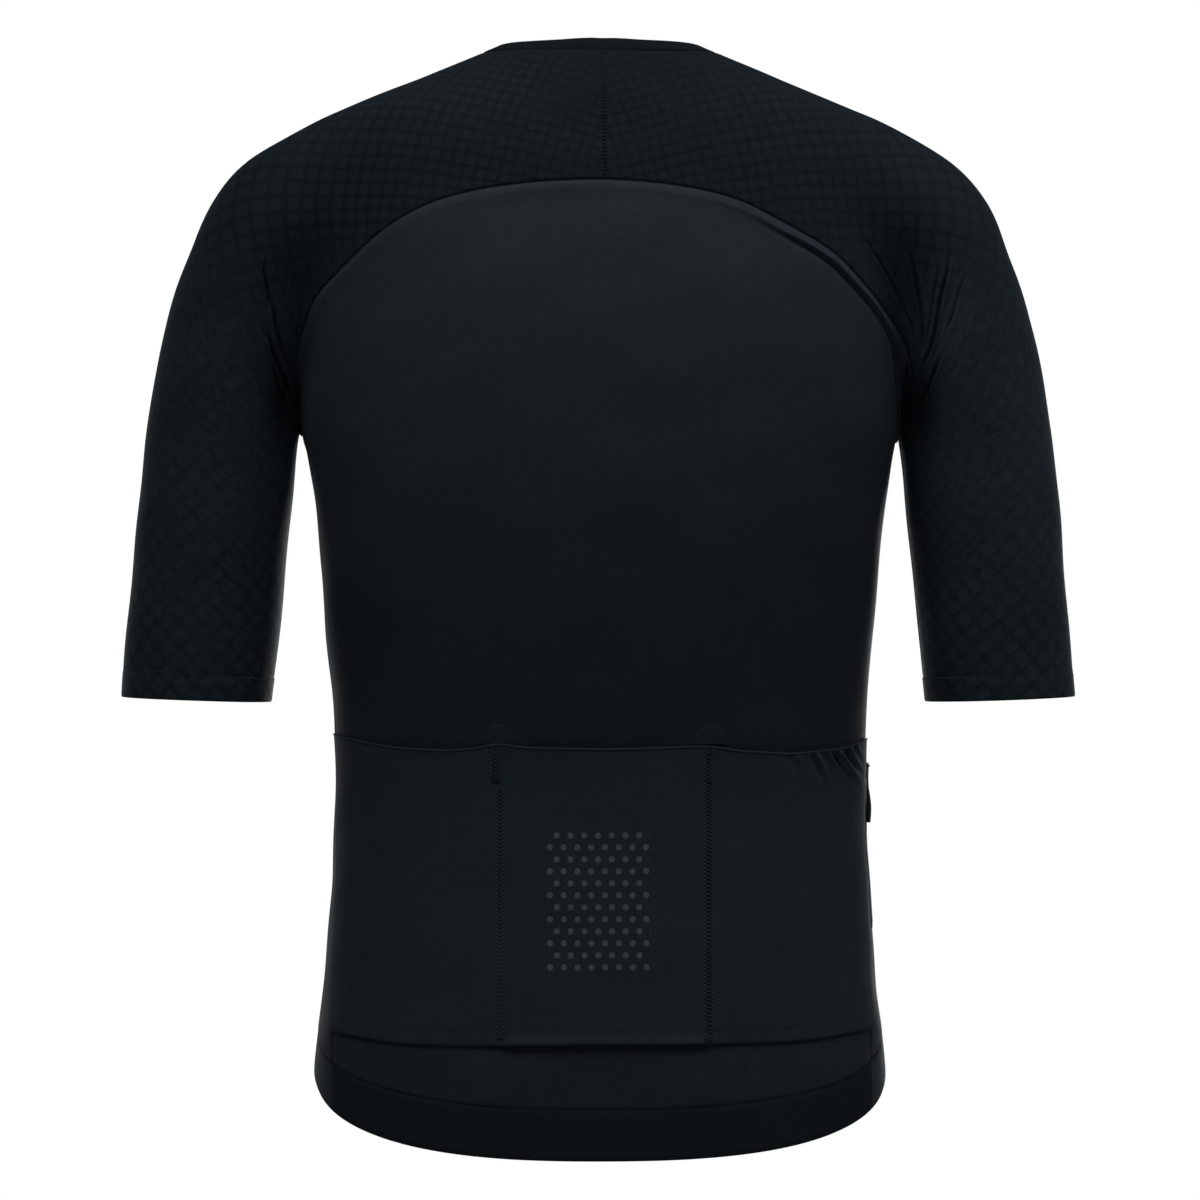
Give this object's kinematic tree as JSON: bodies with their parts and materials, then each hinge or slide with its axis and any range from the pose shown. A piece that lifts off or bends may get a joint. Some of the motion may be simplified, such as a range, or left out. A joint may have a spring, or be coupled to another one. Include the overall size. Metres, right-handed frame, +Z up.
{
  "type": "cycling jersey",
  "caption": "Short-sleeved cycling jersey filled out as worn: raglan sleeves and net-knit yoke over an arched back seam, back pockets, front zip, gripper hem.",
  "frame": {"origin": "middle of the neck opening, level with the neck seam at the back, between the shoulders", "axes": "+Z up, front towards -Y, the wearer's left towards +X"},
  "size_m": [0.612, 0.2274, 0.6998],
  "materials": {
    "body_knit": "smooth fine knit",
    "yoke_knit": "matt net-like knit",
    "gripper_elastic": "matt elastic",
    "zip_tape": "woven tape with coil",
    "zip_metal": "satin dark paint"
  },
  "bodies": {
    "jersey": {"back_panel": "body_knit", "front_left": "body_knit", "front_right": "body_knit", "sleeve_left": "yoke_knit", "sleeve_right": "yoke_knit", "neck_band": "yoke_knit", "pocket_panel": "body_knit", "pocket_tack_left": "yoke_knit", "pocket_tack_right": "yoke_knit", "hem_back": "gripper_elastic", "hem_front_left": "body_knit", "hem_front_right": "body_knit", "zip_front": "zip_tape", "zip_front_slider": "zip_metal", "pocket_zip": "zip_tape", "pocket_zip_slider": "zip_metal"},
    "zip_front_tab": {"zip_front_pull": "zip_metal"},
    "pocket_zip_tab": {"pocket_zip_pull": "zip_metal"}
  },
  "joints": [
    {"name": "zip_front_tab_turn", "type": "hinge", "parent": "jersey", "child": "zip_front_tab", "pos_m": [0, -0.07951, -0.05622], "axis": [-1, 0, 0], "range_deg": [0, 160]},
    {"name": "pocket_zip_tab_turn", "type": "hinge", "parent": "jersey", "child": "pocket_zip_tab", "pos_m": [-0.17364, 0.00902, -0.45318], "axis": [0.0664, 0.9978, 0], "range_deg": [0, 160]}
  ]
}
